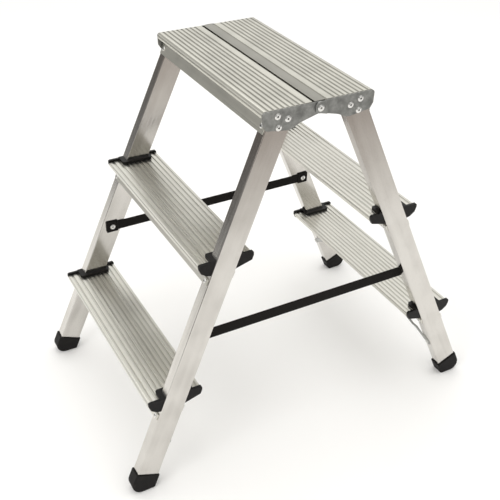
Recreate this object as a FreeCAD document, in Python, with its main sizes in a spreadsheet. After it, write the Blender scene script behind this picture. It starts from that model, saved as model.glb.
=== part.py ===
"""Double-sided folding step ladder in aluminium, standing open.

The ladder is two mirrored frames hinged together under a split platform.  Each
frame has two leaning stiles of rectangular tube, two ribbed treads and half of
the platform.  Everything is designed once, in the quarter at +X and +Y, and
mirrored to the other quarters.  +Z is up, the floor is at Z = 0, the hinge axis
lies along Y above the origin, and the frames open towards -X and +X.
"""
import FreeCAD
import Part
import Sketcher
import os
import re

SIZES = (
    ("platform_height", 650.0, "platform top above the floor"),
    ("platform_length", 383.6, "platform along the hinge axis"),
    ("platform_depth", 199.0, "both platform halves, nose to nose"),
    ("platform_nose", 7.0, "rounding of the platform's outer nose"),
    ("platform_lip", 9.5, "depth of the platform's outer lip"),
    ("cover_reach", 8.5, "how far the cover strip passes the hinge axis"),
    ("cover_groove", 11.5, "groove beside the cover strip, from the hinge axis"),
    ("cover_flange", 16.0, "drop of the flange under the cover strip"),
    ("edge_setback", 13.0, "inner edge of the plain half, from the hinge axis"),
    ("edge_flange", 20.0, "drop of the flange under the plain edge"),
    ("tread_rise", 235.0, "height between two standing surfaces"),
    ("tread_depth", 96.0, "tread, nose to rear lip"),
    ("tread_forward", 2.0, "tread centre in front of the stile's axis"),
    ("tread_nose", 2.5, "rounding of a tread's lips"),
    ("tread_lip", 7.5, "depth of a tread's lips"),
    ("deck", 2.6, "thickness of the ribbed plates"),
    ("lip_wall", 2.4, "thickness of lips and flanges"),
    ("skirt_wall", 2.0, "thickness of the skirts"),
    ("skirt_drop", 36.5, "skirt's lower edge below the standing surface"),
    ("tab_height", 10.5, "height of the skirt tabs that lap a stile"),
    ("groove_width", 4.4, "groove between two ribs, at the surface"),
    ("groove_floor", 2.8, "groove between two ribs, at its floor"),
    ("groove_depth", 1.3, "depth of a groove"),
    ("rib_pitch", 8.85, "distance between two grooves"),
    ("platform_grooves", 8, "grooves in each platform half"),
    ("platform_first", 26.5, "first groove from the hinge axis"),
    ("tread_grooves", 9, "grooves in a tread"),
    ("tread_first", 18.0, "first groove of the row, from the nose"),
    ("nose_groove", 7.5, "single groove behind the nose"),
    ("lean", 23.48, "angle of a frame from upright"),
    ("splay", 2.53, "angle of a stile from the frame's middle"),
    ("stile_depth", 40.0, "stile tube, along the step"),
    ("stile_width", 20.0, "stile tube, across the frame"),
    ("stile_wall", 1.5, "wall of the stile tube"),
    ("stile_corner", 1.4, "outer corner radius of the stile tube"),
    ("stile_inset", 20.3, "stile's front face behind the platform's nose, at platform level"),
    ("stile_margin", 2.1, "stile's outer face inside the platform's end, at platform level"),
    ("stile_bottom", 13.5, "middle of the stile's lower end above the floor"),
    ("foot_wall", 2.5, "wall of the foot cap"),
    ("foot_grip", 20.0, "length of stile inside the foot cap"),
    ("foot_corner", 3.0, "rounding of the foot cap's edges"),
    ("foot_toe", 17.0, "rounding of the foot cap's toe"),
    ("pivot_drop", 10.6, "hinge axis below the platform top"),
    ("pivot_radius", 3.0, "shank of the hinge rivet"),
    ("pivot_head", 5.6, "head radius of the hinge rivet"),
    ("pivot_play", 0.06, "radial running clearance on the hinge rivet"),
    ("hinge_wall", 2.0, "thickness of a hinge plate"),
    ("hinge_gap", 0.2, "gap between the platform's end and a hinge plate"),
    ("hinge_lap_gap", 0.3, "gap between the two plates where they lap"),
    ("hinge_lobe", 9.0, "hinge plate round the hinge axis"),
    ("hinge_setback", 0.8, "hinge plate's top edge below the platform top"),
    ("hinge_drop", 36.5, "hinge plate's lower edge below the platform top"),
    ("hinge_corner", 5.0, "corner radius of a hinge plate"),
    ("cap_wall", 5.0, "end wall of a tread cap"),
    ("cap_setback", 1.0, "end wall's outer face inside the stile's outer face"),
    ("cap_rim", 3.8, "end wall above the tread"),
    ("cap_corner", 3.2, "rounding of the end wall's upper corners"),
    ("cap_side", 12.0, "depth of the end wall beside the stile's faces"),
    ("cap_drop", 20.5, "depth of the end wall at the stile"),
    ("cap_play", 0.3, "clearance between a tread cap and its neighbours"),
    ("flange_wall", 7.5, "flange of a tread cap round the stile, on the tread"),
    ("flange_rise", 5.0, "flange above the tread"),
    ("flange_corner", 5.5, "corner radius of the flange"),
    ("collar_wall", 4.2, "collar of a tread cap round the stile, in the notch"),
    ("collar_drop", 12.0, "collar below the tread"),
    ("collar_corner", 3.4, "corner radius of the collar"),
    ("strap_rise_far", 101.0, "middle of the far strap above the lower tread"),
    ("strap_rise_near", 89.5, "middle of the near strap above the lower tread"),
    ("strap_width", 20.0, "width of the webbing"),
    ("strap_wall", 1.6, "thickness of the webbing"),
    ("strap_tab", 24.0, "length of the hemmed strap end"),
    ("strap_tab_width", 24.0, "width of the hemmed strap end"),
    ("strap_play", 0.1, "least gap between the strap and the stile"),
    ("rivet_shank", 2.4, "shank radius of the blind rivets"),
    ("rivet_play", 0.1, "clearance round a rivet shank"),
    ("rivet_head", 5.2, "head radius of the hinge and strap rivets"),
    ("rivet_small_head", 4.2, "head radius of the skirt and brace rivets"),
    ("rivet_rise", 1.6, "height of a rivet head"),
    ("rivet_eye", 1.6, "radius of the hole in a rivet head"),
    ("brace_width", 10.0, "width of the brace bar"),
    ("brace_wall", 2.0, "thickness of the brace bar"),
    ("brace_foot", 92.0, "brace's lower end below the lower tread"),
    ("brace_span", 80.0, "brace's upper end from its lower end, across the frame"),
    ("brace_overlap", 8.0, "brace's end beyond its rivet"),
)

doc = FreeCAD.newDocument("step_ladder")
sheet = doc.addObject("Spreadsheet::Sheet", "Sizes")
for row, (alias, size, meaning) in enumerate(SIZES, 1):
    sheet.set(f"A{row}", meaning)
    sheet.set(f"B{row}", str(size))
    sheet.setAlias(f"B{row}", alias)
doc.recompute()

NAMES = re.compile(r"\b(" + "|".join(alias for alias, size, meaning in SIZES) + r")\b")
X_AXIS = FreeCAD.Vector(1, 0, 0)
Y_AXIS = FreeCAD.Vector(0, 1, 0)
pieces = []


def bind(thing, prop, formula):
    """Bind a property to a formula written with the sheet's names."""
    thing.setExpression(prop, NAMES.sub(r"Sizes.\1", formula))


def evaluate(formula):
    """Value of a formula for the sheet's present sizes."""
    value = sheet.evalExpression(NAMES.sub(r"Sizes.\1", formula))
    return float(getattr(value, "Value", value))


def place(x, y, z, yaw="0", pitch="0", roll="0"):
    """Placement formula: a position and a yaw, pitch and roll in degrees."""
    return f"placement(vector({x}; {y}; {z}); rotation({yaw}; {pitch}; {roll}))"


# ---- where the stile's faces are at a height z, and its own axes ----------

def outer_x(z):
    """The stile's front narrow face."""
    return f"(platform_depth / 2 - stile_inset + tan(lean) * (platform_height - ({z})))"


def inner_x(z):
    """The stile's rear narrow face, towards the other frame."""
    return f"({outer_x(z)} - stile_depth / cos(lean))"


def middle_x(z):
    """The stile's axis, seen along the hinge axis."""
    return f"({outer_x(z)} - stile_depth / cos(lean) / 2)"


def outer_y(z):
    """The stile's wide face away from the treads."""
    return f"(platform_length / 2 - stile_margin + tan(splay) / cos(lean) * (platform_height - ({z})))"


def inner_y(z):
    """The stile's wide face towards the treads."""
    return f"({outer_y(z)} - stile_width / cos(splay))"


def middle_y(z):
    """The stile's axis, seen along X."""
    return f"({outer_y(z)} - stile_width / cos(splay) / 2)"


TOP = "platform_height"
PIVOT_Z = "(platform_height - pivot_drop)"
HINGE_Y = "(platform_length / 2 + hinge_gap)"
HINGE_OUT = f"({HINGE_Y} + hinge_wall)"
LOBE_Y = f"({HINGE_OUT} + hinge_lap_gap)"
STILE_LENGTH = "((platform_height - stile_bottom) / cos(lean) / cos(splay))"
STILE_AXES = place(middle_x(TOP), middle_y(TOP), TOP, "0", "-lean", "splay")
TREADS = {"upper": "(platform_height - tread_rise)",
          "lower": "(platform_height - 2 * tread_rise)"}


# ---- features --------------------------------------------------------------

def new_body(label):
    """A PartDesign body of its own."""
    return doc.addObject("PartDesign::Body", label)


def base_plane(body, role):
    """One of the body's three origin planes."""
    return [plane for plane in body.Origin.OriginFeatures if plane.Role == role][0]


def outline(body, label, role, loops, shift="0"):
    """Sketch of closed straight-sided loops, each corner bound to its formulas."""
    sketch = body.newObject("Sketcher::SketchObject", label)
    sketch.AttachmentSupport = [(base_plane(body, role), "")]
    sketch.MapMode = "FlatFace"
    bind(sketch, "AttachmentOffset", place("0", "0", f"-({shift})"))
    for loop in loops:
        corners = [(evaluate(u), evaluate(v)) for u, v in loop]
        first = sketch.GeometryCount
        for start, end in zip(corners, corners[1:] + corners[:1]):
            line = Part.LineSegment(FreeCAD.Vector(*start, 0), FreeCAD.Vector(*end, 0))
            sketch.addGeometry(line)
        for i, (formulas, corner) in enumerate(zip(loop, corners)):
            following = first + (i + 1) % len(loop)
            sketch.addConstraint(Sketcher.Constraint("Coincident", first + i, 2, following, 1))
            for axis, formula, value in zip("XY", formulas, corner):
                rule = Sketcher.Constraint("Distance" + axis, -1, 1, first + i, 1, value)
                bind(sketch, f"Constraints[{sketch.addConstraint(rule)}]", formula)
    return sketch


def extrude(body, label, role, loops, length, kind="Pad"):
    """Pad or pocket the loops equally to both sides of their plane."""
    feature = body.newObject("PartDesign::" + kind, label)
    feature.Profile = outline(body, label + "_outline", role, loops)
    feature.SideType = "Symmetric"
    bind(feature, "Length", length)
    doc.recompute()
    return feature


def block(body, label, size, placement, kind="Additive"):
    """Box with formulas for its three sides, added or cut away."""
    box = body.newObject(f"PartDesign::{kind}Box", label)
    for side, formula in zip(("Length", "Width", "Height"), size):
        bind(box, side, formula)
    bind(box, "Placement", placement)
    doc.recompute()
    return box


def stile_block(body, label, margin, low, high, kind="Additive"):
    """Box on the stile's axis, wider than the stile by a margin all round."""
    size = (f"stile_depth + 2 * ({margin})", f"stile_width + 2 * ({margin})", f"({high}) - ({low})")
    corner = place(f"-stile_depth / 2 - ({margin})", f"-stile_width / 2 - ({margin})", low)
    return block(body, label, size, f"{STILE_AXES} * {corner}", kind)


def drill(body, label, placement, radius):
    """Round hole along a rivet's own axis."""
    hole = body.newObject("PartDesign::SubtractiveCylinder", label)
    bind(hole, "Radius", radius)
    hole.Height = 24
    bind(hole, "Placement", f"{placement} * {place('0', '0', '-12')}")
    doc.recompute()


def round_edges(body, label, radius, wanted):
    """Fillet of the tip's edges that a test picks."""
    tip = body.Tip
    names = [f"Edge{i}" for i, edge in enumerate(tip.Shape.Edges, 1) if wanted(edge)]
    fillet = body.newObject("PartDesign::Fillet", label)
    fillet.Base = (tip, names)
    bind(fillet, "Radius", radius)
    doc.recompute()


def round_stile_edges(body, label, radius):
    """Fillet of the four edges that run along the stile."""
    along = body.Tip.Placement.Rotation.multVec(FreeCAD.Vector(0, 0, 1))
    round_edges(body, label, radius, lambda edge: runs_along(edge, along))


def runs_along(edge, direction):
    """Whether an edge is straight and parallel to a direction."""
    if not isinstance(edge.Curve, Part.Line):
        return False
    return abs(edge.Curve.Direction.dot(direction)) > 0.9999


def lies_at(edge, x, z):
    """Whether an edge along Y passes through a place in X and Z."""
    spot = edge.CenterOfMass
    return runs_along(edge, Y_AXIS) and abs(spot.x - x) < 0.01 and abs(spot.z - z) < 0.01


def stands_at(edge, x, y):
    """Whether an upright edge passes through a place in X and Y."""
    spot = edge.CenterOfMass
    return runs_along(edge, FreeCAD.Vector(0, 0, 1)) and abs(spot.x - x) < 0.01 and abs(spot.y - y) < 0.01


def keep(thing, label):
    """List an object as a finished sub-part under its own name."""
    thing.Label = label
    pieces.append(thing)
    return thing


def image_of(source, label, normal):
    """Mirror image in a plane through the origin."""
    image = doc.addObject("Part::Mirroring", label)
    image.Source = source
    image.Normal = normal
    return image


def mirrored(source, label, normal):
    """Finished sub-part: the mirror image of another."""
    return keep(image_of(source, label, normal), label)


def in_four_quarters(source, stem):
    """The piece at right far, and its images in the other three quarters."""
    keep(source, stem + "_right_far")
    mirrored(source, stem + "_left_far", X_AXIS)
    near = mirrored(source, stem + "_right_near", Y_AXIS)
    mirrored(near, stem + "_left_near", X_AXIS)


def on_both_sides(source, stem, suffix=""):
    """The piece on the right frame and its image on the left frame."""
    keep(source, f"{stem}_right{suffix}")
    mirrored(source, f"{stem}_left{suffix}", X_AXIS)


def at_end(source, stem, end):
    """The piece at one end of the right frame, and its image on the left frame."""
    if end == "near":
        source = image_of(source, source.Label + "_image", Y_AXIS)
    on_both_sides(source, stem, "_" + end)


def grouped(label, links):
    """Several separate solids under one name."""
    group = doc.addObject("Part::Compound", label)
    group.Links = links
    return group


# ---- rivets ----------------------------------------------------------------

def rivet_kind(label, head, shank, grip):
    """Hollow rivet: its axis is Z, its head stands on Z = 0, its tail is below."""
    body = new_body(label)
    profile = [("rivet_eye", "rivet_rise"), (f"0.55 * {head}", "rivet_rise"), (head, "0.45 * rivet_rise"),
               (head, "0"), (shank, "0"), (shank, f"-({grip})"), (f"{shank} + 0.9", f"-({grip}) - 0.6"),
               (f"{shank} + 0.9", f"-({grip}) - 1.6"), ("rivet_eye", f"-({grip}) - 1.6")]
    turning = body.newObject("PartDesign::Revolution", label + "_turned")
    turning.Profile = outline(body, label + "_profile", "XZ_Plane", [profile])
    turning.ReferenceAxis = (turning.Profile[0], ["V_Axis"])
    turning.Angle = 360
    doc.recompute()
    return body


def rivet_at(kind, label, placement):
    """One rivet of a kind, set in its place."""
    link = doc.addObject("App::Link", label)
    link.LinkedObject = kind
    bind(link, "Placement", placement)
    return link


SKIRT_GRIP = "(skirt_wall + brace_wall + 0.2)"
HINGE_GRIP = "(hinge_wall + hinge_gap + stile_wall + 3)"
STRAP_GRIP = "(2 * strap_wall + strap_play + stile_wall + 1.2)"
PIVOT_GRIP = "(2 * hinge_wall + 2 * hinge_lap_gap + 0.1)"
skirt_rivet = rivet_kind("skirt_rivet", "rivet_small_head", "rivet_shank", SKIRT_GRIP)
hinge_rivet = rivet_kind("hinge_rivet", "rivet_head", "rivet_shank", HINGE_GRIP)
strap_rivet = rivet_kind("strap_rivet", "rivet_head", "rivet_shank", STRAP_GRIP)
pivot_rivet = rivet_kind("pivot_rivet", "pivot_head", "pivot_radius", PIVOT_GRIP)


def front_rivet(z, side="1"):
    """Rivet through a skirt into the stile's front narrow face."""
    x = f"{outer_x(z)} + skirt_wall / cos(lean)"
    return place(x, f"{side} * {middle_y(z)}", z, "0", "90 - lean", "0")


def rear_rivet(z, side="1", walls="1"):
    """Rivet through a skirt or bar into the stile's rear narrow face."""
    x = f"{inner_x(z)} - {walls} * skirt_wall / cos(lean)"
    return place(x, f"{side} * {middle_y(z)}", z, "0", "-90 - lean", "0")


def tab_level(top):
    """Height of the rivets in the skirt tabs below a standing surface."""
    return f"({top} - skirt_drop + tab_height / 2)"


HINGE_SPOTS = [place(x, HINGE_OUT, z, "0", "0", "-90") for x, z in (
    (f"{outer_x(PIVOT_Z)} - 10.3", PIVOT_Z),
    (f"{inner_x(PIVOT_Z)} + 15.4", f"{PIVOT_Z} - 7"),
    (f"{inner_x(PIVOT_Z)} + 31.2", f"{PIVOT_Z} - 18.6"))]
PLATFORM_SPOT = front_rivet(f"{TOP} - skirt_drop + 10")
ENDS = ("far", "near")
STRAP_Z = {end: f"({TREADS['lower']} + strap_rise_{end})" for end in ENDS}
STRAP_PLAY = "(strap_play + stile_depth / 2 * sin(lean) * sin(splay))"


def strap_y(end):
    """The strap's outer side, just inside the stile's inner wide face."""
    return f"({inner_y(STRAP_Z[end])} - {STRAP_PLAY})"


def strap_spot(end):
    """Rivet through the strap's end into the stile's inner wide face."""
    head_y = f"{strap_y(end)} - 2 * strap_wall - {STRAP_PLAY}"
    return place(middle_x(STRAP_Z[end]), head_y, STRAP_Z[end], "0", "0", "90 + splay")


# ---- brace geometry, in the plane of the stiles' rear faces ----------------

BRACE_FOOT_Z = f"({TREADS['lower']} - brace_foot)"
BRACE_HEAD_Z = f"({TREADS['lower']} - skirt_drop + tab_height / 2)"
BRACE_RISE = f"(({BRACE_HEAD_Z} - {BRACE_FOOT_Z}) / cos(lean))"
BRACE_TILT = f"atan2(brace_span; {BRACE_RISE})"
BRACE_LENGTH = f"sqrt(brace_span ^ 2 + {BRACE_RISE} ^ 2)"
BRACE_AXES = place(inner_x(BRACE_FOOT_Z), middle_y(BRACE_FOOT_Z), BRACE_FOOT_Z, "0", "-lean", BRACE_TILT)
BRACE_FOOT_SPOT = f"{BRACE_AXES} * {place('-brace_wall', '0', '0', '0', '-90', '0')}"
BRACE_HEAD_SPOT = f"{BRACE_AXES} * {place('-brace_wall - skirt_wall', '0', BRACE_LENGTH, '0', '-90', '0')}"


# ---- stiles and feet -------------------------------------------------------

def make_stile(end):
    """Rectangular tube: leaned, splayed, cut level under the platform, drilled for its rivets."""
    label = "tube_" + end
    body = new_body(label)
    stile_block(body, label + "_bar", "0", f"-{STILE_LENGTH}", "stile_depth")
    round_stile_edges(body, label + "_corners", "stile_corner")
    bore_foot = f"-{STILE_LENGTH} - 10"
    stile_block(body, label + "_bore", "-stile_wall", bore_foot, "stile_depth + 10", "Subtractive")
    above = place("-platform_depth", "0", f"{TOP} - deck - hinge_gap")
    block(body, label + "_top", ("3 * platform_depth", "platform_length", "200"), above, "Subtractive")
    spots = HINGE_SPOTS + [PLATFORM_SPOT, strap_spot(end), BRACE_FOOT_SPOT]
    for top in TREADS.values():
        spots += [front_rivet(tab_level(top)), rear_rivet(tab_level(top))]
    for number, spot in enumerate(spots, 1):
        drill(body, f"{label}_hole_{number}", spot, "rivet_shank + rivet_play")
    at_end(body, "stile", end)


def make_foot():
    """Moulded cap on the stile's lower end, with a rounded toe and flat on the floor."""
    body = new_body("foot")
    low = f"-{STILE_LENGTH} - stile_bottom - stile_depth"
    stile_block(body, "foot_bar", "foot_wall", low, f"-{STILE_LENGTH} + foot_grip")
    below = place("0", "0", "-300")
    block(body, "foot_floor", ("3 * platform_height", "2 * platform_length", "300"), below, "Subtractive")
    along = body.Tip.Placement.Rotation.multVec(FreeCAD.Vector(0, 0, 1))
    toe_x = evaluate(f"{outer_x('0')} + foot_wall / cos(lean)")
    round_edges(body, "foot_tip", "foot_toe", lambda edge: lies_at(edge, toe_x, 0))
    round_edges(body, "foot_rounding", "foot_corner",
                lambda edge: edge.BoundBox.ZMin < 0.01 or runs_along(edge, along))
    socket = (f"-{STILE_LENGTH}", f"-{STILE_LENGTH} + 2 * foot_grip")
    stile_block(body, "foot_socket", "0", *socket, "Subtractive")
    in_four_quarters(body, "foot")


# ---- platform and treads ---------------------------------------------------

def web(face, away, high, low):
    """Slanted skirt wall lying on a narrow face of the stiles, outside it."""
    wall = f"{away} * skirt_wall / cos(lean)"
    return [(face(high), high), (f"{face(high)} + {wall}", high),
            (f"{face(low)} + {wall}", low), (face(low), low)]


def groove(x, top):
    """Tapered groove cut down from a standing surface."""
    return [(f"{x} - groove_width / 2", f"{top} + 1"), (f"{x} + groove_width / 2", f"{top} + 1"),
            (f"{x} + groove_width / 2", top), (f"{x} + groove_floor / 2", f"{top} - groove_depth"),
            (f"{x} - groove_floor / 2", f"{top} - groove_depth"), (f"{x} - groove_width / 2", top)]


def groove_row(body, label, x, top, length, count, direction):
    """Row of grooves, one rib apart, from the first at x."""
    first = extrude(body, label + "_first", "XZ_Plane", [groove(x, top)], length, "Pocket")
    row = body.newObject("PartDesign::LinearPattern", label + "_row")
    row.Originals = [first]
    row.Direction = (base_plane(body, "X_Axis"), [""])
    row.Reversed = direction < 0
    bind(row, "Length", f"rib_pitch * ({count} - 1)")
    bind(row, "Occurrences", count)
    body.Tip = row
    doc.recompute()


def make_platform(label, edge, flange, extra):
    """Half platform: ribbed deck, round nose, stiffened inner edge and slanted skirt."""
    body = new_body(label)
    nose = "platform_depth / 2"
    deck = [(edge, TOP), (nose, TOP), (nose, f"{TOP} - platform_lip"),
            (f"{nose} - lip_wall", f"{TOP} - platform_lip"), (f"{nose} - lip_wall", f"{TOP} - deck"),
            (f"{edge} + lip_wall", f"{TOP} - deck"), (f"{edge} + lip_wall", f"{TOP} - {flange}"),
            (edge, f"{TOP} - {flange}")]
    extrude(body, label + "_deck", "XZ_Plane", [deck], "platform_length")
    corner_x = evaluate(nose)
    round_edges(body, label + "_nose", "platform_nose",
                lambda line: lies_at(line, corner_x, evaluate(TOP)))
    inside = (evaluate(f"{nose} - lip_wall"), evaluate(f"{TOP} - deck"))
    round_edges(body, label + "_nose_inside", "platform_nose - lip_wall",
                lambda line: lies_at(line, *inside))
    skirt = web(outer_x, "1", f"({TOP} - deck / 2)", f"({TOP} - skirt_drop)")
    extrude(body, label + "_skirt", "XZ_Plane", [skirt], "platform_length - 2 * skirt_wall")
    for number, x in enumerate(extra, 1):
        extrude(body, f"{label}_line_{number}", "XZ_Plane", [groove(x, TOP)],
                "platform_length + 2", "Pocket")
    groove_row(body, label, "platform_first", TOP, "platform_length + 2", "platform_grooves", 1)
    for number, side in enumerate(("1", "-1"), 1):
        spot = front_rivet(f"{TOP} - skirt_drop + 10", side)
        drill(body, f"{label}_hole_{number}", spot, "rivet_shank + rivet_play")
    return body


def tread_centre(top):
    """Middle of a tread between its nose and its rear lip."""
    return f"({middle_x(top)} + tread_forward)"


def end_y(top):
    """Outer face of a tread's moulded end walls."""
    return f"({outer_y(top)} - cap_setback)"


def horn_y(top):
    """Where the metal of a tread ends beside the stile."""
    return f"({end_y(top)} - cap_wall)"


def notch_y(top):
    """Where the metal of a tread ends in front of the stile."""
    return f"({inner_y(top)} - collar_wall - 2 * cap_play)"


def make_tread(level, top):
    """Tread: ribbed plate with two lips, two slanted skirts, and notches round the stiles."""
    label = "tread_" + level
    body = new_body(label)
    middle = tread_centre(top)
    front = f"{middle} + tread_depth / 2"
    rear = f"{middle} - tread_depth / 2"
    plate = [(rear, top), (front, top), (front, f"{top} - tread_lip"),
             (f"{front} - lip_wall", f"{top} - tread_lip"), (f"{front} - lip_wall", f"{top} - deck"),
             (f"{rear} + lip_wall", f"{top} - deck"), (f"{rear} + lip_wall", f"{top} - tread_lip"),
             (rear, f"{top} - tread_lip")]
    extrude(body, label + "_plate", "XZ_Plane", [plate], f"2 * {horn_y(top)}")
    ends = (evaluate(front), evaluate(rear))
    round_edges(body, label + "_noses", "tread_nose",
                lambda line: any(lies_at(line, x, evaluate(top)) for x in ends))
    low = f"({top} - skirt_drop)"
    for name, high, half in (("skirts", f"({top} - deck / 2)", notch_y(top)),
                             ("tabs", f"({low} + tab_height)", f"({outer_y(top)} - 1)")):
        walls = [web(outer_x, "1", high, low), web(inner_x, "-1", high, low)]
        extrude(body, f"{label}_{name}", "XZ_Plane", walls, f"2 * {half}")
    span = f"2 * {outer_y(top)}"
    extrude(body, label + "_line", "XZ_Plane", [groove(f"{front} - nose_groove", top)], span, "Pocket")
    groove_row(body, label, f"{front} - tread_first", top, span, "tread_grooves", -1)
    clear = "collar_wall + 2 * cap_play"
    low_x = f"{inner_x(top)} - ({clear})"
    length = f"{outer_x(f'{top} - deck')} - {inner_x(top)} + 2 * ({clear})"
    for number, side in enumerate(("1", "-1"), 1):
        y = notch_y(top) if side == "1" else f"-{notch_y(top)} - 2 * stile_width"
        block(body, f"{label}_notch_{number}", (length, "2 * stile_width", "tread_lip + 2"),
              place(low_x, y, f"{top} - tread_lip"), "Subtractive")
        for spot in (front_rivet, rear_rivet):
            hole = f"{label}_{spot.__name__}_{number}"
            drill(body, hole, spot(tab_level(top), side), "rivet_shank + rivet_play")
    if level == "lower":
        head = BRACE_HEAD_SPOT
        drill(body, label + "_brace_far", head, "rivet_shank + rivet_play")
        y = f"-({middle_y(BRACE_FOOT_Z)} - brace_span)"
        near = place(inner_x(BRACE_HEAD_Z), y, BRACE_HEAD_Z, "0", "-90 - lean", "0")
        drill(body, label + "_brace_near", near, "rivet_shank + rivet_play")
    on_both_sides(body, "tread", "_" + level)


def make_tread_cap(level, top):
    """Moulded cap: a collar and a flange round the stile, and a rimmed wall over the tread's end."""
    label = "cap_" + level
    body = new_body(label)
    reach = f"((platform_height - {top}) / cos(lean) / cos(splay))"
    stile_block(body, label + "_collar", "collar_wall", f"-{reach} - stile_depth", f"-{reach} + stile_depth")
    round_stile_edges(body, label + "_corners", "collar_corner")
    wide = ("platform_height", "platform_height", "platform_height")
    start_x = f"{middle_x(top)} - platform_height / 2"
    for name, y, z in (("over", "0", top),
                       ("under", "0", f"{top} - collar_drop - platform_height"),
                       ("outside", end_y(top), f"{top} - platform_height / 2")):
        block(body, f"{label}_{name}", wide, place(start_x, y, z), "Subtractive")
    low_x = f"{inner_x(top)} - flange_wall"
    low_y = f"{inner_y(top)} - flange_wall"
    size = ("stile_depth / cos(lean) + 2 * flange_wall", f"{end_y(top)} - ({low_y})", "flange_rise")
    block(body, label + "_flange", size, place(low_x, low_y, top))
    corners = [(evaluate(x), evaluate(low_y)) for x in (low_x, f"{outer_x(top)} + flange_wall")]
    round_edges(body, label + "_flange_corners", "flange_corner",
                lambda edge: any(stands_at(edge, x, y) for x, y in corners))
    front = f"{tread_centre(top)} + tread_depth / 2 + cap_play"
    rear = f"{tread_centre(top)} - tread_depth / 2 - cap_play"
    rim = f"{top} + cap_rim"
    low = f"{top} - cap_drop"
    wall = [(rear, rim), (front, rim), (front, f"{top} - cap_rim"),
            (f"{front} - cap_corner", f"{top} - cap_side"),
            (f"{front} - cap_side", f"{low} + 2"), (outer_x(low), low), (inner_x(low), low),
            (f"{rear} + cap_corner", f"{top} - cap_side"), (rear, f"{top} - cap_rim")]
    end = body.newObject("PartDesign::Pad", label + "_wall")
    end.Profile = outline(body, label + "_wall_outline", "XZ_Plane", [wall], horn_y(top))
    end.Reversed = True
    bind(end, "Length", "cap_wall")
    doc.recompute()
    tips = [(evaluate(x), evaluate(rim)) for x in (rear, front)]
    round_edges(body, label + "_wall_corners", "cap_corner",
                lambda edge: any(lies_at(edge, x, z) for x, z in tips))
    far = "platform_height / 3"
    stile_block(body, label + "_slot", "cap_play", f"-{reach} - {far}", f"-{reach} + {far}", "Subtractive")
    in_four_quarters(body, f"tread_cap_{level}")


# ---- hinge, strap and braces -----------------------------------------------

def make_hinge_plate(label, joggled):
    """Hinge plate: outline round the platform's end and the stile's top, with a lobe at the axis."""
    body = new_body(label)
    top = f"({TOP} - hinge_setback)"
    low = f"({TOP} - hinge_drop)"
    nose = "platform_depth / 2"
    corners = [("-hinge_lobe", top), (nose, top), (f"{nose} - 1", f"{TOP} - 0.6 * hinge_drop"),
               (outer_x(f"{TOP} - 0.85 * hinge_drop"), f"{TOP} - 0.85 * hinge_drop"),
               (f"{inner_x(low)} + hinge_corner", low), (f"{inner_x(low)} - 3", f"{low} + 1"),
               (f"{inner_x(low)} - 2 * hinge_lobe", f"{low} + hinge_lobe - 1"),
               ("0", f"{PIVOT_Z} - hinge_lobe"), ("-hinge_lobe", f"{PIVOT_Z} - hinge_lobe")]
    plate = body.newObject("PartDesign::Pad", label + "_plate")
    plate.Profile = outline(body, label + "_outline", "XZ_Plane", [corners], HINGE_Y)
    plate.Reversed = True
    bind(plate, "Length", "2 * hinge_wall + hinge_lap_gap" if joggled else "hinge_wall")
    doc.recompute()
    lobe_x = evaluate("-hinge_lobe")
    lobe_z = (evaluate(top), evaluate(f"{PIVOT_Z} - hinge_lobe"))
    round_edges(body, label + "_lobe", "hinge_lobe - 1",
                lambda line: any(lies_at(line, lobe_x, z) for z in lobe_z))
    outer = (evaluate(nose), evaluate(top))
    round_edges(body, label + "_corner", "hinge_corner", lambda line: lies_at(line, *outer))
    if joggled:
        bend = "hinge_lobe + 1"
        end = "hinge_lobe + 5"
        inside = [("-2 * hinge_lobe", f"{HINGE_Y} - 1"), (end, f"{HINGE_Y} - 1"), (end, HINGE_Y),
                  (bend, LOBE_Y), ("-2 * hinge_lobe", LOBE_Y)]
        outside = [(f"{bend} + 1", f"{LOBE_Y} + hinge_wall"), (f"{end} + 1", HINGE_OUT),
                   ("platform_depth", HINGE_OUT), ("platform_depth", f"{LOBE_Y} + 2 * hinge_wall"),
                   (f"{bend} + 1", f"{LOBE_Y} + 2 * hinge_wall")]
        extrude(body, label + "_joggle", "XY_Plane", [inside, outside], "3 * platform_height", "Pocket")
    play = "pivot_play" if joggled else "rivet_play"
    drill(body, label + "_eye", place("0", HINGE_OUT, PIVOT_Z, "0", "0", "-90"), f"pivot_radius + {play}")
    for number, spot in enumerate(HINGE_SPOTS, 1):
        drill(body, f"{label}_hole_{number}", spot, "rivet_shank + rivet_play")
    return body


def make_hinge():
    """Plates of both frames and the hollow rivets that they turn on."""
    right = keep(make_hinge_plate("hinge_lapped", True), "hinge_plate_right_far")
    mirrored(right, "hinge_plate_right_near", Y_AXIS)
    plain = make_hinge_plate("hinge_plain", False)
    left = mirrored(plain, "hinge_plate_left_far", X_AXIS)
    mirrored(left, "hinge_plate_left_near", Y_AXIS)
    head_y = f"{LOBE_Y} + hinge_wall + hinge_lap_gap"
    far = rivet_at(pivot_rivet, "pivot_far", place("0", head_y, PIVOT_Z, "0", "0", "-90"))
    far = keep(grouped("pivot_group", [far]), "pivot_rivet_far")
    mirrored(far, "pivot_rivet_near", Y_AXIS)


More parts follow.
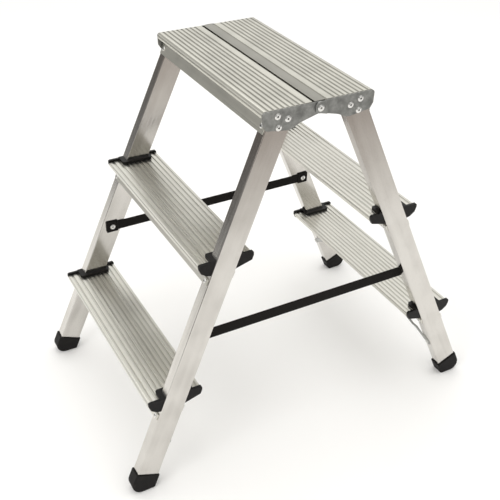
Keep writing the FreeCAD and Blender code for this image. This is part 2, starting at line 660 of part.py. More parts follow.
def make_strap(end):
    """Webbing strap between the frames, with a hemmed end under each rivet."""
    label = "webbing_" + end
    body = new_body(label)
    bind(body, "Placement", place("0", strap_y(end), STRAP_Z[end], "0", "0", "splay"))
    hole_x = middle_x(STRAP_Z[end])
    half = f"({hole_x} + strap_tab / 2)"
    block(body, label + "_band", (f"2 * {half}", "strap_wall", "strap_width"),
          place(f"-{half}", "-strap_wall", "-strap_width / 2"))
    for name, start in (("right", f"{half} - strap_tab"), ("left", f"-{half}")):
        block(body, f"{label}_tab_{name}", ("strap_tab", "2 * strap_wall", "strap_tab_width"),
              place(start, "-2 * strap_wall", "-strap_tab_width / 2"))
    for name, x in (("right", hole_x), ("left", f"-{hole_x}")):
        hole = place(x, "0", "0", "0", "0", "90")
        drill(body, f"{label}_hole_{name}", hole, "rivet_shank + 2 * rivet_play")
    if end == "far":
        keep(body, "strap_far")
    else:
        mirrored(body, "strap_near", Y_AXIS)
    rivet = rivet_at(strap_rivet, label + "_rivet", strap_spot(end))
    at_end(grouped(label + "_rivet_group", [rivet]), "strap_rivet", end)


def make_brace():
    """Flat bar from the stile's rear face up to the lower tread's rear skirt, cranked over it."""
    body = new_body("brace")
    bind(body, "Placement", BRACE_AXES)
    crank = f"({BRACE_LENGTH} * 0.35)"
    rise = f"({crank} + 4 * brace_wall)"
    end = f"({BRACE_LENGTH} + brace_overlap)"
    bar = [("0", "-brace_overlap"), ("-brace_wall", "-brace_overlap"), ("-brace_wall", crank),
           ("-brace_wall - skirt_wall", rise), ("-brace_wall - skirt_wall", end), ("-skirt_wall", end),
           ("-skirt_wall", rise), ("0", crank)]
    extrude(body, "brace_bar", "XZ_Plane", [bar], "brace_width")
    ends = [edge for edge in body.Tip.Shape.Edges if runs_along(edge, X_AXIS)]
    spots = [edge.CenterOfMass for edge in ends]
    round_edges(body, "brace_ends", "brace_width * 0.45",
                lambda edge: any(edge.CenterOfMass.isEqual(spot, 0.001) for spot in spots))
    for name, z in (("foot", "0"), ("head", BRACE_LENGTH)):
        drill(body, "brace_hole_" + name, place("0", "0", z, "0", "-90", "0"), "rivet_shank + rivet_play")
    in_four_quarters(body, "brace")
    rivets = [rivet_at(skirt_rivet, "brace_rivet_foot", BRACE_FOOT_SPOT),
              rivet_at(skirt_rivet, "brace_rivet_head", BRACE_HEAD_SPOT)]
    in_four_quarters(grouped("brace_rivet_group", rivets), "brace_rivets")


def make_rivet_groups():
    """Rivets of the hinge plates, of the platform skirts and of the tread skirts."""
    hinge = [rivet_at(hinge_rivet, f"hinge_rivet_{i}", spot) for i, spot in enumerate(HINGE_SPOTS, 1)]
    in_four_quarters(grouped("hinge_rivet_group", hinge), "hinge_rivets")
    level = f"{TOP} - skirt_drop + 10"
    ends = [rivet_at(skirt_rivet, f"platform_rivet_{side}", front_rivet(level, side)) for side in ("1", "-1")]
    on_both_sides(grouped("platform_rivet_group", ends), "platform_rivets")
    for level, top in TREADS.items():
        links = []
        for spot in (front_rivet, rear_rivet):
            for side in ("1", "-1"):
                label = f"tread_{level}_{spot.__name__}_{side}"
                links.append(rivet_at(skirt_rivet, label, spot(tab_level(top), side)))
        on_both_sides(grouped(f"tread_{level}_rivet_group", links), "tread_rivets", "_" + level)


def check_document():
    """Stop unless every object recomputed and every sub-part is a sound solid."""
    doc.recompute()
    faulty = [thing.Label for thing in doc.Objects if {"Invalid", "Error"} & set(thing.State)]
    unsound = [piece.Label for piece in pieces
               if piece.Shape.isNull() or not piece.Shape.isValid() or not piece.Shape.Solids]
    if faulty or unsound:
        raise RuntimeError(f"failed objects {faulty}, unsound shapes {unsound}")


make_foot()
keep(make_platform("platform_wide", "-cover_reach", "cover_flange", ["cover_groove"]), "platform_right")
plain_half = make_platform("platform_plain", "edge_setback", "edge_flange", [])
mirrored(plain_half, "platform_left", X_AXIS)
for level, top in TREADS.items():
    make_tread(level, top)
    make_tread_cap(level, top)
for end in ENDS:
    make_stile(end)
    make_strap(end)
make_hinge()
make_brace()
make_rivet_groups()
check_document()

os.makedirs("parts", exist_ok=True)
for piece in pieces:
    piece.Shape.exportStep(f"parts/{piece.Label}.step")
print(f"{len(pieces)} sub-parts, {sum(len(piece.Shape.Solids) for piece in pieces)} solids")
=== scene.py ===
"""Folding step ladder: its finishes, its webbing straps and the studio it stands in.

Units are metres in the row frame, with the hinge axis along Y above the origin.
"""
import logging
import math
from dataclasses import dataclass, field
from enum import Enum

import bpy
import numpy as np
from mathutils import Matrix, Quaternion, Vector


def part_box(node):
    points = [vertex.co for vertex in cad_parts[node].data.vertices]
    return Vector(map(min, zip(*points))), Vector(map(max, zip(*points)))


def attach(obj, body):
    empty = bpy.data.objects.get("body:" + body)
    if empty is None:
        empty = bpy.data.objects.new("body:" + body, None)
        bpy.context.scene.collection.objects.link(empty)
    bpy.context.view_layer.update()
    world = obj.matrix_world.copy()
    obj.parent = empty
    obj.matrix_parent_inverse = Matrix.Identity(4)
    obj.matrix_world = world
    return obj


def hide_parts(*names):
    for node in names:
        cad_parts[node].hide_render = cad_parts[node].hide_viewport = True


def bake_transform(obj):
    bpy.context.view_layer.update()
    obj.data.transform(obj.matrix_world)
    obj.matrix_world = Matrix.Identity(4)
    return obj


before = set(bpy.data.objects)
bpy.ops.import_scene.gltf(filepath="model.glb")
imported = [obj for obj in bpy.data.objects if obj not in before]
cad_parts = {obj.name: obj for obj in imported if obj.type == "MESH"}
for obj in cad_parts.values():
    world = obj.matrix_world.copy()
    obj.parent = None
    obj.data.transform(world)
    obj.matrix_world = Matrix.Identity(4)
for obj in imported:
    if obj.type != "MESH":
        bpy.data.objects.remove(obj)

LOG = logging.getLogger("step_ladder")
MM = 0.001
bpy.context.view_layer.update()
PLATFORM_TOP_MM = 650.0
# Most of a noise lies between these two values.
NOISE_REACH = (0.3, 0.7)
Link = bpy.types.NodeSocket


class Side(Enum):
    """The frame a piece belongs to, with the sign of X on that side."""

    LEFT = -1
    RIGHT = 1

    @property
    def body(self) -> str:
        """Name of the CAD body on this side."""
        return self.name.lower() + "_frame"


class End(Enum):
    """An end of the ladder along the hinge axis, with the sign of Y there."""

    NEAR = -1
    FAR = 1


def linear(code: str) -> tuple[float, float, float, float]:
    """Turn an sRGB hex colour into linear light.

    Args:
        code: Six hex digits with a leading hash.

    Returns:
        Linear red, green, blue and an alpha of one.
    """
    srgb = np.array([int(code[i:i + 2], 16) for i in (1, 3, 5)]) / 255
    light = np.where(srgb <= 0.04045, srgb / 12.92, ((srgb + 0.055) / 1.055) ** 2.4)
    return (*light.tolist(), 1.0)


def per_metre(size_mm: float) -> float:
    """Texture scale that gives a pattern one feature every so many millimetres."""
    return 1.0 / (size_mm * MM)


def add_node(tree: bpy.types.NodeTree, kind: str, settings: dict | None = None,
             links: dict | None = None) -> bpy.types.Node:
    """Add one node, with its settings and the links into it.

    Args:
        tree: The node tree.
        kind: The node's type, without its ShaderNode prefix.
        settings: Attributes of the node, or values of its inputs by name or number.
        links: Output sockets to join to inputs, by the input's name or number.

    Returns:
        The new node.
    """
    node = tree.nodes.new("ShaderNode" + kind)
    for key, value in (settings or {}).items():
        if isinstance(key, str) and hasattr(node, key):
            setattr(node, key, value)
        else:
            node.inputs[key].default_value = value
    for key, socket in (links or {}).items():
        tree.links.new(socket, node.inputs[key])
    return node


def new_mesh(name: str, points: np.ndarray, faces: list[list[int]],
             smooth: bool = True) -> bpy.types.Object:
    """Make an object from an array of points and its faces.

    Args:
        name: Name of the piece.
        points: Array of shape (n, 3), in metres.
        faces: The point numbers of each face, anticlockwise from outside.
        smooth: Whether the faces are shaded smooth.

    Returns:
        The object, at the origin.
    """
    mesh = bpy.data.meshes.new(name)
    mesh.from_pydata(points.tolist(), [], faces)
    mesh.polygons.foreach_set("use_smooth", np.full(len(mesh.polygons), smooth))
    mesh.update()
    made = bpy.data.objects.new(name, mesh)
    bpy.context.collection.objects.link(made)
    return made


# ---- finishes ---------------------------------------------------------------

@dataclass(frozen=True)
class Finish:
    """What every finish has: its name, its colour, and how rough and how deep its surface is.

    The spread is how far the roughness goes under and over its middle, depth_mm the real
    depth of the relief, and relief the share of it that shows.
    """

    name: str
    colour: str
    roughness: float
    metallic: float = 0.0
    spread: tuple[float, float] = (0.0, 0.0)
    depth_mm: float = 0.0
    relief: float = 0.0

    def start(self) -> tuple[bpy.types.Material, bpy.types.NodeTree, bpy.types.Node, Link]:
        """Make the material with its shader's constant values.

        Returns:
            The material, its tree, the shader, and the object coordinates' socket.
        """
        material = bpy.data.materials.new(self.name)
        material.use_nodes = True
        tree = material.node_tree
        shader = tree.nodes["Principled BSDF"]
        shader.inputs["Metallic"].default_value = self.metallic
        shader.inputs["Roughness"].default_value = self.roughness
        shader.inputs["Base Color"].default_value = linear(self.colour)
        place = add_node(tree, "TexCoord").outputs["Object"]
        return material, tree, shader, place

    def shaded(self, tree: bpy.types.NodeTree, under: Link | None, over: str, pattern: Link, share: float,
               reach: tuple[float, float] = (0.0, 1.0)) -> Link:
        """Lay a second colour over the first, by a pattern.

        Args:
            tree: The node tree.
            under: The first colour's socket, or None for the finish's own colour.
            over: The second colour, in hex.
            pattern: What the second colour follows.
            share: The most of the second colour that shows.
            reach: Values of the pattern where the second colour begins, and where it is at its most.

        Returns:
            The socket of the colour.
        """
        settings = {"From Min": reach[0], "From Max": reach[1], "To Min": 0.0, "To Max": share}
        amount = add_node(tree, "MapRange", settings, {"Value": pattern}).outputs["Result"]
        settings = {"data_type": "RGBA", 6: linear(self.colour), 7: linear(over)}
        links = {0: amount} if under is None else {0: amount, 6: under}
        return add_node(tree, "Mix", settings, links).outputs[2]

    def surface(self, tree: bpy.types.NodeTree, shader: bpy.types.Node, height: Link,
                rough: Link | None = None) -> None:
        """Raise the surface by one pattern, and vary its roughness by another.

        Args:
            tree: The node tree.
            shader: The finish's shader.
            height: Pattern of the relief.
            rough: Pattern of the roughness, or None to leave it even.
        """
        settings = {"Distance": self.depth_mm * MM, "Strength": self.relief}
        bump = add_node(tree, "Bump", settings, {"Height": height})
        tree.links.new(bump.outputs["Normal"], shader.inputs["Normal"])
        if rough is not None:
            (start, stop), (less, more) = NOISE_REACH, self.spread
            settings = {"From Min": start, "From Max": stop,
                        "To Min": self.roughness - less, "To Max": self.roughness + more}
            varied = add_node(tree, "MapRange", settings, {"Value": rough})
            tree.links.new(varied.outputs["Result"], shader.inputs["Roughness"])


@dataclass(frozen=True)
class DrawnAluminium(Finish):
    """Extruded aluminium, with the fine lines that the die leaves along it.

    The lines are a noise, squeezed across and stretched along the bar.  Real die lines are much
    finer; they are drawn coarser so that they show.  The metal is dull where wider bands of
    lines meet large patches.
    """

    spread: tuple[float, float] = (0.06, 0.06)
    depth_mm: float = 0.02
    relief: float = 0.12
    line_mm: float = 1.6
    line_length_mm: float = 240.0
    lines_in_band: int = 9
    patch_mm: float = 55.0
    tilt_deg: float = 0.0
    along: str = "Y"
    dull: str = "#8F8D86"
    dull_share: float = 0.12
    dull_reach: tuple[float, float] = (0.18, 0.38)
    levels_mm: tuple[float, ...] = ()
    # Painted shade: a darker band just under each top, where the grooves lie.
    shade_colour: str = "#8E8C84"
    groove_shade: float = 0.3
    groove_mm: tuple[float, float] = (2.4, 0.5)
    # Painted shade on a smooth strip between two places along X.
    strip_mm: tuple[float, float] | None = None
    strip_shade: float = 0.6
    # Painted shade and reflection: darker and browner between two heights, most at the upper one.
    top_shade_mm: tuple[float, float] | None = None
    top_shade_colour: str = "#6F6157"
    top_shade_share: float = 0.65

    def build(self) -> bpy.types.Material:
        """Make the material.

        Returns:
            The finished material.
        """
        material, tree, shader, place = self.start()
        turned = add_node(tree, "Mapping", {"Rotation": (0.0, math.radians(self.tilt_deg), 0.0)},
                          {"Vector": place}).outputs[0]
        fine, long = per_metre(self.line_mm), per_metre(self.line_length_mm)
        scale = (fine, long, fine) if self.along == "Y" else (fine, fine, long)
        drawn = add_node(tree, "Mapping", {"Scale": scale}, {"Vector": turned}).outputs[0]
        lines = add_node(tree, "TexNoise", {"Scale": 1.0, "Detail": 3.0}, {"Vector": drawn}).outputs[0]
        wide = tuple(value / self.lines_in_band for value in scale)
        bands_at = add_node(tree, "Mapping", {"Scale": wide}, {"Vector": turned}).outputs[0]
        bands = add_node(tree, "TexNoise", {"Scale": 1.0, "Detail": 2.0}, {"Vector": bands_at}).outputs[0]
        settings = {"Scale": per_metre(self.patch_mm), "Detail": 4.0}
        patches = add_node(tree, "TexNoise", settings, {"Vector": place}).outputs[0]
        dulled = add_node(tree, "Math", {"operation": "MULTIPLY"}, {0: bands, 1: patches}).outputs[0]
        colour = self.shaded(tree, None, self.dull, dulled, self.dull_share, self.dull_reach)
        # Painted shade and reflection towards the top of the tube, under the platform.
        if self.top_shade_mm:
            height = add_node(tree, "SeparateXYZ", None, {0: place}).outputs["Z"]
            reach = tuple(value * MM for value in self.top_shade_mm)
            colour = self.shaded(tree, colour, self.top_shade_colour, height, self.top_shade_share, reach)
        # Painted shade on the smooth strip.
        if self.strip_mm:
            strip = self.band(tree, place, "X", self.strip_mm)
            colour = self.shaded(tree, colour, self.shade_colour, strip, self.strip_shade)
        # Painted shade in the grooves, in a band just under each level.
        for level in self.levels_mm:
            groove = self.band(tree, place, "Z", tuple(level - depth for depth in self.groove_mm))
            colour = self.shaded(tree, colour, self.shade_colour, groove, self.groove_shade)
        tree.links.new(colour, shader.inputs["Base Color"])
        self.surface(tree, shader, lines, lines)
        return material

    def band(self, tree: bpy.types.NodeTree, place: Link, axis: str, band_mm: tuple[float, float]) -> Link:
        """Make a pattern that is one between two places along an axis, and zero outside them.

        Args:
            tree: The node tree.
            place: The object coordinates.
            axis: Letter of the axis.
            band_mm: The two places.

        Returns:
            The socket of the pattern.
        """
        along = add_node(tree, "SeparateXYZ", None, {0: place}).outputs[axis]
        low, high = (value * MM for value in band_mm)
        settings = {"operation": "COMPARE", 1: (low + high) / 2, 2: (high - low) / 2}
        return add_node(tree, "Math", settings, {0: along}).outputs[0]


@dataclass(frozen=True)
class GalvanisedSheet(Finish):
    """Hot-dipped zinc on sheet steel: dull grey crystals a few millimetres wide, with handling marks."""

    spread: tuple[float, float] = (0.08, 0.12)
    depth_mm: float = 0.08
    relief: float = 0.5
    crystal_mm: float = 4.0
    pale: str = "#A6A6A2"
    pale_share: float = 0.35
    mark_mm: float = 14.0
    mark_breakup: float = 0.65
    dark: str = "#6C6C69"
    dark_share: float = 0.75
    dark_reach: tuple[float, float] = (0.42, 0.68)

    def build(self) -> bpy.types.Material:
        """Make the material.

        Returns:
            The finished material.
        """
        material, tree, shader, place = self.start()
        settings = {"Scale": per_metre(self.crystal_mm)}
        crystals = add_node(tree, "TexVoronoi", settings, {"Vector": place}).outputs["Color"]
        value = add_node(tree, "SeparateColor", None, {0: crystals}).outputs[0]
        settings = {"Scale": per_metre(self.mark_mm), "Detail": 6.0, "Roughness": self.mark_breakup}
        marks = add_node(tree, "TexNoise", settings, {"Vector": place}).outputs[0]
        colour = self.shaded(tree, None, self.pale, value, self.pale_share)
        colour = self.shaded(tree, colour, self.dark, marks, self.dark_share, self.dark_reach)
        tree.links.new(colour, shader.inputs["Base Color"])
        self.surface(tree, shader, marks, marks)
        return material


@dataclass(frozen=True)
class PlatedMetal(Finish):
    """Bright plated or rolled metal on small parts, with light scratches."""

    spread: tuple[float, float] = (0.05, 0.15)
    depth_mm: float = 0.015
    relief: float = 0.4
    scratch_mm: float = 1.0
    scratch_bend: float = 0.6
    worn: str = "#8A8884"
    worn_share: float = 0.5
    worn_reach: tuple[float, float] = (0.5, 0.75)

    def build(self) -> bpy.types.Material:
        """Make the material.

        Returns:
            The finished material.
        """
        material, tree, shader, place = self.start()
        settings = {"Scale": per_metre(self.scratch_mm), "Detail": 3.0, "Distortion": self.scratch_bend}
        scratches = add_node(tree, "TexNoise", settings, {"Vector": place}).outputs[0]
        colour = self.shaded(tree, None, self.worn, scratches, self.worn_share, self.worn_reach)
        tree.links.new(colour, shader.inputs["Base Color"])
        self.surface(tree, shader, scratches, scratches)
        return material


@dataclass(frozen=True)
class MouldedBlack(Finish):
    """Black moulded polymer: a fine spark-eroded grain, paler where shoes and floors rub it.

    The real grain is finer; it is drawn coarser so that it shows.
    """

    spread: tuple[float, float] = (0.08, 0.1)
    depth_mm: float = 0.05
    relief: float = 0.6
    specular: float = 0.2
    grain_mm: float = 0.9
    scuff_mm: float = 9.0
    rubbed: str = "#2A2624"
    rubbed_share: float = 0.5
    rubbed_reach: tuple[float, float] = (0.5, 0.72)

    def build(self) -> bpy.types.Material:
        """Make the material.

        Returns:
            The finished material.
        """
        material, tree, shader, place = self.start()
        shader.inputs["Specular IOR Level"].default_value = self.specular
        settings = {"Scale": per_metre(self.grain_mm), "Detail": 2.0}
        grain = add_node(tree, "TexNoise", settings, {"Vector": place}).outputs[0]
        settings = {"Scale": per_metre(self.scuff_mm), "Detail": 5.0}
        scuffs = add_node(tree, "TexNoise", settings, {"Vector": place}).outputs[0]
        colour = self.shaded(tree, None, self.rubbed, scuffs, self.rubbed_share, self.rubbed_reach)
        tree.links.new(colour, shader.inputs["Base Color"])
        self.surface(tree, shader, grain, scuffs)
        return material


@dataclass(frozen=True)
class WovenWebbing(Finish):
    """Black polyester webbing in a close herringbone, with a soft sheen on its threads.

    The piece's UV map is in threads: one unit along and across is one thread.
    """

    depth_mm: float = 0.25
    relief: float = 0.8
    specular: float = 0.12
    sheen: float = 0.04
    sheen_roughness: float = 0.5
    lit: str = "#1F1C19"
    lit_share: float = 0.7
    rib_threads: float = 4.0

    def build(self) -> bpy.types.Material:
        """Make the material.

        Returns:
            The finished material.
        """
        material, tree, shader, place = self.start()
        shader.inputs["Specular IOR Level"].default_value = self.specular
        shader.inputs["Sheen Weight"].default_value = self.sheen
        shader.inputs["Sheen Roughness"].default_value = self.sheen_roughness
        threads = place.node.outputs["UV"]
        along = add_node(tree, "SeparateXYZ", None, {0: threads})
        # Herringbone: the twill's slant flips every four threads across, so its phase is
        # along plus the distance to the nearest multiple of eight threads.
        settings = {"operation": "PINGPONG", 1: self.rib_threads}
        slant = add_node(tree, "Math", settings, {0: along.outputs["Y"]}).outputs[0]
        phase = add_node(tree, "Math", {"operation": "ADD"}, {0: along.outputs["X"], 1: slant}).outputs[0]
        turned = add_node(tree, "Math", {"operation": "MULTIPLY", 1: math.pi / 2}, {0: phase}).outputs[0]
        wave = add_node(tree, "Math", {"operation": "SINE"}, {0: turned}).outputs[0]
        settings = {"From Min": -1.0, "From Max": 1.0, "To Min": 0.0, "To Max": 1.0}
        height = add_node(tree, "MapRange", settings, {"Value": wave}).outputs["Result"]
        colour = self.shaded(tree, None, self.lit, height, self.lit_share)
        tree.links.new(colour, shader.inputs["Base Color"])
        self.surface(tree, shader, height)
        return material


# ---- the ladder's own pieces --------------------------------------------------

@dataclass
class SubAssembly:
    """Some of the CAD nodes, and the finish that each of them wears."""

    def finishes(self) -> dict[str, bpy.types.Material]:
        """Make the finishes.

        Returns:
            Material by the stem of the node names that wear it.
        """
        raise NotImplementedError

    def dress(self) -> None:
        """Give every CAD node with one of the stems its finish."""
        for stem, material in self.finishes().items():
            for name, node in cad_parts.items():
                if name.startswith(stem):
                    for material_slot in node.material_slots:
                        material_slot.material = material
                    LOG.info("dressed %s in %s", name, material.name)


@dataclass
class Platform(SubAssembly):
    """The two ribbed halves that are stood on, trodden dull, with a cover strip over their gap."""

    top_mm: float = PLATFORM_TOP_MM
    strip_mm: tuple[float, float] = (-8.6, 9.4)

    def finishes(self) -> dict[str, bpy.types.Material]:
        """Make the trodden aluminium of both halves.

        Returns:
            Material by the stem of the node names that wear it.
        """
        # Duller than the treads, with dark painted shade in its grooves and on the smooth cover strip.
        trodden = DrawnAluminium("extruded_aluminium_trodden", "#D0CEC4", 0.33, 1.0, relief=0.08,
                                 dull_share=0.3, levels_mm=(self.top_mm,), shade_colour="#63615A",
                                 groove_shade=0.6, strip_mm=self.strip_mm).build()
        return {f"platform_{side.name.lower()}": trodden for side in Side}


@dataclass
class Treads(SubAssembly):
    """Four ribbed treads and the moulded caps that close their ends round the stiles."""

    top_mm: float = PLATFORM_TOP_MM
    rise_mm: float = 235.0
    steps: int = 2

    def finishes(self) -> dict[str, bpy.types.Material]:
        """Make the treads' satin aluminium and the caps' black polypropylene.

        Returns:
            Material by the stem of the node names that wear it.
        """
        levels = tuple(self.top_mm - self.rise_mm * (step + 1) for step in range(self.steps))
        # Clean and pale: its flat ribs mirror the bright room softly, and painted shade in its grooves makes
        # them read as fine lines.
        satin = DrawnAluminium("extruded_aluminium_satin", "#D2D0C8", 0.31, 1.0, relief=0.06,
                               levels_mm=levels).build()
        # Nearly black, with a dull shine along its rounded edges.
        made = {"tread_cap": MouldedBlack("moulded_polypropylene_black", "#0B0908", 0.42).build()}
        return made | {f"tread_{side.name.lower()}": satin for side in Side}


@dataclass
class Legs(SubAssembly):
    """One frame's two leaning tubes, with their feet and the braces up to the lower tread."""

    side: Side
    lean_deg: float = 23.48
    # Heights over which painted shade and reflection darken the tube.
    top_shade_mm: tuple[float, float] = (400.0, 610.0)

    def finishes(self) -> dict[str, bpy.types.Material]:
        """Make the tube's aluminium, the feet's rubber and the braces' zinc.

        Returns:
            Material by the stem of the node names that wear it.
        """
        side = self.side.name.lower()
        # Bright, with lines along the leaning tube, and painted shade and reflection that make it browner
        # towards the top, under the platform.
        tube = DrawnAluminium(f"drawn_aluminium_tube_{side}", "#D3D0CB", 0.19, 1.0, line_mm=2.2,
                              tilt_deg=self.side.value * self.lean_deg, along="Z", dull="#8F8A84",
                              dull_share=0.28, spread=(0.05, 0.05), relief=0.3, top_shade_mm=self.top_shade_mm)
        # Softer and more matt than the caps.
        rubber = MouldedBlack(f"moulded_rubber_black_{side}", "#0E0C0B", 0.6, grain_mm=1.4)
        # A thin grey strip with a faint lustre.
        zinc = PlatedMetal(f"zinc_plated_strip_{side}", "#A9A9A6", 0.34, 1.0)
        return {f"stile_{side}": tube.build(), f"foot_{side}": rubber.build(), f"brace_{side}": zinc.build()}


@dataclass
class Hinges(SubAssembly):
    """The four plates that lap on the hinge axis at both ends of the platform."""

    def finishes(self) -> dict[str, bpy.types.Material]:
        """Make the plates' zinc, clouded grey beside the brighter aluminium."""
        return {"hinge_plate": GalvanisedSheet("galvanised_steel_sheet", "#8C8C89", 0.46, 0.85).build()}


@dataclass
class Rivets(SubAssembly):
    """Every rivet, from the two that the frames turn on to those in the skirts and braces."""

    groups: tuple[str, ...] = ("pivot_rivet", "strap_rivet", "hinge_rivets", "platform_rivets",
                               "tread_rivets", "brace_rivets")

    def finishes(self) -> dict[str, bpy.types.Material]:
        """Make the rivets' aluminium, the brightest metal on the ladder."""
        bright = PlatedMetal("bright_aluminium_rivet", "#E4E3E0", 0.22, 1.0).build()
        return {group: bright for group in self.groups}


@dataclass
class Strap:
    """One webbing strap: a flat woven band, and a stitched sleeve at each end under its rivet."""

    end: End
    webbing: bpy.types.Material
    thread: bpy.types.Material
    width: float = 20.0 * MM
    thickness: float = 1.6 * MM
    sleeve: float = 24.0 * MM
    splay_deg: float = 2.53
    thread_pitch: float = 1.1 * MM
    stitch: float = 2.6 * MM
    pitch_ratio: float = 1.35
    stitch_inset: float = 2.2 * MM
    stitch_radius: float = 0.38 * MM
    band_rows: int = 160
    sleeve_rows: int = 24
    around: int = 32
    edge_power: float = 0.25
    face_power: float = 0.5
    tip_share: float = 0.03
    origin: np.ndarray = field(init=False)
    half: float = field(init=False)

    def __post_init__(self) -> None:
        """Find the strap's plane and length from its CAD node."""
        low, high = (np.array(corner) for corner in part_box(self.node))
        self.half = (high[0] - low[0]) / 2
        self.origin = (low + high) / 2

    @property
    def node(self) -> str:
        """Name of the CAD node that the strap stands for."""
        return "strap_" + self.end.name.lower()

    def placed(self, across: np.ndarray, inward: np.ndarray, x: np.ndarray) -> np.ndarray:
        """Put strap coordinates into the row frame.

        Across runs up the strap's width and inward towards the ladder's middle, both turned
        by the splay about X, and x is kept.

        Args:
            across: Distances up from the strap's middle.
            inward: Distances towards the ladder's middle, from the middle of its thickness.
            x: Places along X, from the left frame towards the right.

        Returns:
            Points, of shape (n, 3).
        """
        angle = math.radians(self.splay_deg)
        y = -inward * math.cos(angle) - across * math.sin(angle)
        z = across * math.cos(angle) - inward * math.sin(angle)
        shape = np.broadcast(across, inward, x).shape
        y, z, x = (np.broadcast_to(value, shape) for value in (y * self.end.value, z, x))
        return np.stack([x.ravel(), y.ravel(), z.ravel()], axis=1) + self.origin * (0, 1, 1)

    def tube(self, name: str, start: float, stop: float, width: float, depth: float, middle: float,
             steps: int) -> bpy.types.Object:
        """Build a flat closed band.

        The cross-section is a superellipse: the half width times the cosine to a quarter, and
        the half depth times the square root of the sine, both with their signs, so that it is
        flat with soft edges.  It is carried along X.  At both ends the depth falls along a
        quarter circle to a small share of it, and the width narrows by as much.

        Args:
            name: Name of the piece.
            start: First place along X.
            stop: Last place along X.
            width: Width of the band.
            depth: Thickness of the band.
            middle: Its middle layer, inward of the strap's.
            steps: Number of rows along X.

        Returns:
            The band, with a UV map in threads.
        """
        turn = np.linspace(0, 2 * np.pi, self.around, endpoint=False)
        row = np.linspace(0, 1, steps)
        ends = np.minimum(1, np.minimum(row, 1 - row) * (stop - start) / (depth / 2))
        round_off = np.sqrt(np.clip(ends * (2 - ends), self.tip_share ** 2, 1))[:, None]
        soft = np.abs(np.cos(turn)) ** self.edge_power * np.sign(np.cos(turn))
        thin = np.abs(np.sin(turn)) ** self.face_power * np.sign(np.sin(turn))
        x = (start + row * (stop - start))[:, None]
        trim = width / 2 - depth / 2 * (1 - round_off)
        points = self.placed(soft[None] * trim, middle + thin[None] * depth / 2 * round_off, x)
        i, j = np.meshgrid(np.arange(steps - 1), np.arange(self.around), indexing="ij")
        following = (j + 1) % self.around
        corners = [i * self.around + j, i * self.around + following,
                   (i + 1) * self.around + following, (i + 1) * self.around + j]
        sides = np.stack([corner.ravel() for corner in corners], axis=1)
        rim = np.arange(self.around)
        caps = np.stack([rim[::-1], rim + (steps - 1) * self.around])
        made = new_mesh(name, points, self.outward(sides) + self.outward(caps))
        self.unwrap(made)
        made.data.materials.append(self.webbing)
        return made

    def outward(self, faces: np.ndarray) -> list[list[int]]:
        """Lists of each face's points, turned outwards: the near strap mirrors the far one."""
        return (faces if self.end is End.FAR else faces[:, ::-1]).tolist()

    def unwrap(self, made: bpy.types.Object) -> None:
        """Give the band a UV map in threads: X along, height across.

        Args:
            made: The band.
        """
        mesh = made.data
        points = np.empty(len(mesh.vertices) * 3)
        mesh.vertices.foreach_get("co", points)
        corner = np.empty(len(mesh.loops), int)
        mesh.loops.foreach_get("vertex_index", corner)
        threads = points.reshape(-1, 3)[corner][:, [0, 2]] / self.thread_pitch
        layer = mesh.uv_layers.new(name="threads")
        layer.data.foreach_set("uv", threads.ravel())

    def stitches(self, name: str, centre_x: float, inward: float) -> bpy.types.Object:
        """Build the stitches round a sleeve.

        Each stitch is a stretched octahedron.  They lie along the four sides of a square inside
        the sleeve's edge, evenly spaced.

        Args:
            name: Name of the piece.
            centre_x: The sleeve's middle along X.
            inward: The sleeve's face.

        Returns:
            All the stitches, as one mesh.
        """
        reach = self.sleeve / 2 - self.stitch_inset
        count = int(2 * reach / (self.stitch * self.pitch_ratio))
        line = (np.arange(count) + 0.5) / count * 2 * reach - reach
        side = np.full(count, reach)
        u = np.concatenate([line, line, side, -side])
        v = np.concatenate([side, -side, line, line])
        lies_x = np.repeat([1.0, 1.0, 0.0, 0.0], count)
        long, thin = self.stitch / 2, self.stitch_radius
        step_u = np.where(lies_x, long, thin)
        step_v = np.where(lies_x, thin, long)
        offsets = np.array([(1, 0, 0), (0, 1, 0), (-1, 0, 0), (0, -1, 0), (0, 0, 1), (0, 0, -1)])
        x = centre_x + u[:, None] + step_u[:, None] * offsets[None, :, 0]
        across = v[:, None] + step_v[:, None] * offsets[None, :, 1]
        deep = inward + thin * offsets[None, :, 2] + 0 * x
        points = self.placed(across, deep, x)
        faces = np.array([(0, 1, 4), (1, 2, 4), (2, 3, 4), (3, 0, 4),
                          (1, 0, 5), (2, 1, 5), (3, 2, 5), (0, 3, 5)])
        every = (faces[None] + 6 * np.arange(len(u))[:, None, None]).reshape(-1, 3)
        made = new_mesh(name, points, self.outward(every))
        made.data.materials.append(self.thread)
        return made

    def build(self) -> None:
        """Build the band, its two sleeves and their stitches, and join them to the frames."""
        layer = self.thickness / 2
        band = self.tube(self.node + "_band", -self.half + self.sleeve / 2, self.half - self.sleeve / 2,
                         self.width, self.thickness, -layer, self.band_rows)
        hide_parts(self.node)
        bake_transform(band)
        LOG.info("made %s", band.name)
        for side in Side:
            stem = f"{self.node}_sleeve_{side.name.lower()}"
            centre = side.value * (self.half - self.sleeve / 2)
            ends = (centre - self.sleeve / 2, centre + self.sleeve / 2)
            sleeve = self.tube(stem, *ends, self.sleeve, 2 * self.thickness, 0.0, self.sleeve_rows)
            thread = self.stitches(stem + "_stitches", centre, self.thickness)
            for piece in (sleeve, thread):
                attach(piece, side.body)
                LOG.info("made %s", piece.name)


# ---- studio ---------------------------------------------------------------------

@dataclass(frozen=True)
class Lamp:
    """A square soft lamp, turned to the middle of the ladder."""

    name: str
    place: tuple[float, float, float]
    size: float
    power: float
    aim: tuple[float, float, float] = (0.0, 0.0, 0.35)

    def build(self) -> None:
        """Hang the lamp."""
        lamp = bpy.data.lights.new(self.name, "AREA")
        lamp.shape = "SQUARE"
        lamp.size = self.size
        lamp.energy = self.power
        made = bpy.data.objects.new(self.name, lamp)
        made.location = self.place
        made.rotation_mode = "QUATERNION"
        made.rotation_quaternion = (Vector(self.aim) - Vector(self.place)).to_track_quat("-Z", "Y")
        bpy.context.collection.objects.link(made)


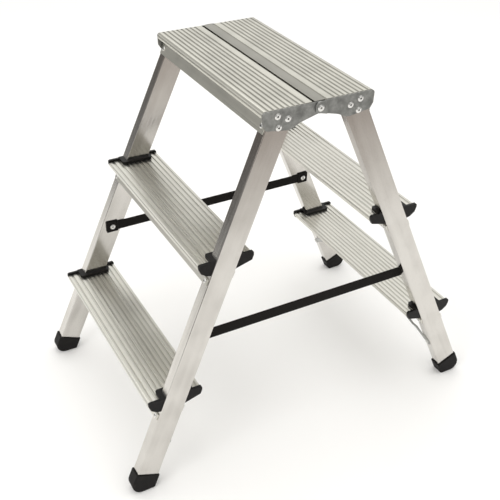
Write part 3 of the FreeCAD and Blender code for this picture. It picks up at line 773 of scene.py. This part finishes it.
@dataclass
class Studio:
    """Pale floor, soft light and the camera."""

    camera_at: tuple[float, float, float] = (-0.65527, -1.17681, 1.16082)
    azimuth_deg: float = -28.759
    elevation_deg: float = 33.287
    roll_deg: float = 0.698
    focal_mm: float = 60.85
    sensor_mm: float = 36.0
    shift: tuple[float, float] = (-0.0016, -0.0077)
    floor_reach: float = 2.85
    floor_gap: float = 0.2 * MM
    floor_corners: int = 180
    exposure: float = 0.2
    room: tuple[tuple[float, float], ...] = ((0.0, 0.2), (0.08, 0.34), (0.3, 0.95), (0.65, 1.1),
                                             (1.0, 0.3))
    room_tint: tuple[float, float, float] = (1.0, 0.995, 0.98)
    lamps: tuple[Lamp, ...] = (Lamp("lamp_overhead", (0.3, 0.3, 3.2), 3.4, 36.0),
                               Lamp("lamp_left", (-3.0, -1.2, 2.2), 1.6, 22.0))

    def build(self) -> None:
        """Make the floor, the light and the camera."""
        self.lay_floor()
        self.light()
        self.set_camera()
        LOG.info("made the studio")

    def lay_floor(self) -> None:
        """Lay a round sheet of paper just under the feet: a circle of points, as one face."""
        turn = np.linspace(0, 2 * np.pi, self.floor_corners, endpoint=False)
        rim = np.stack([np.cos(turn), np.sin(turn), 0 * turn], axis=1) * self.floor_reach
        rim[:, 2] = -self.floor_gap
        floor = new_mesh("studio_floor", rim, [list(range(self.floor_corners))], smooth=False)
        # Flat and even, so that nothing shows on it but soft shadows.
        material, *_ = Finish("matt_white_paper", "#F7F6F4", 0.9).start()
        floor.data.materials.append(material)

    def light(self) -> None:
        """Light the ladder by a soft room, dim near the horizon and overhead, and by two lamps."""
        world = bpy.data.worlds.new("soft_room")
        world.use_nodes = True
        bpy.context.scene.world = world
        tree = world.node_tree
        direction = add_node(tree, "TexCoord").outputs["Generated"]
        height = add_node(tree, "SeparateXYZ", None, {0: direction}).outputs["Z"]
        ramp = add_node(tree, "ValToRGB", None, {0: height})
        while len(ramp.color_ramp.elements) < len(self.room):
            ramp.color_ramp.elements.new(0.5)
        for element, (place, value) in zip(ramp.color_ramp.elements, self.room):
            element.position = place
            element.color = (*(value * tint for tint in self.room_tint), 1.0)
        tree.links.new(ramp.outputs[0], tree.nodes["Background"].inputs["Color"])
        for lamp in self.lamps:
            lamp.build()

    def set_camera(self) -> None:
        """Set the camera on the ladder from above its near left corner."""
        azimuth, elevation = math.radians(self.azimuth_deg), math.radians(self.elevation_deg)
        ahead = Vector((-math.sin(azimuth) * math.cos(elevation), math.cos(azimuth) * math.cos(elevation),
                        -math.sin(elevation)))
        data = bpy.data.cameras.new("camera")
        data.sensor_width = self.sensor_mm
        data.lens = self.focal_mm
        data.shift_x, data.shift_y = self.shift
        made = bpy.data.objects.new("camera", data)
        made.location = self.camera_at
        made.rotation_mode = "QUATERNION"
        roll = Quaternion((0.0, 0.0, 1.0), math.radians(self.roll_deg))
        made.rotation_quaternion = ahead.to_track_quat("-Z", "Y") @ roll
        bpy.context.collection.objects.link(made)
        bpy.context.scene.camera = made
        settings = bpy.context.scene.view_settings
        settings.view_transform = "Standard"
        settings.exposure = self.exposure


def main() -> None:
    """Dress the frames, make the straps, and set up the studio."""
    logging.basicConfig(level=logging.INFO, format="%(name)s: %(message)s")
    for part in (Platform(), Treads(), Hinges(), Rivets(), *(Legs(side) for side in Side)):
        part.dress()
    # Nearly black and matt, with a faint sheen across its threads.
    webbing = WovenWebbing("woven_polyester_black", "#0D0B0A", 0.8).build()
    # A little paler and glossier than the webbing, so that the stitches show on it.
    thread = MouldedBlack("bonded_thread_black", "#161311", 0.55, grain_mm=0.5).build()
    for end in End:
        Strap(end, webbing, thread).build()
    Studio().build()


if __name__ == "__main__":
    main()
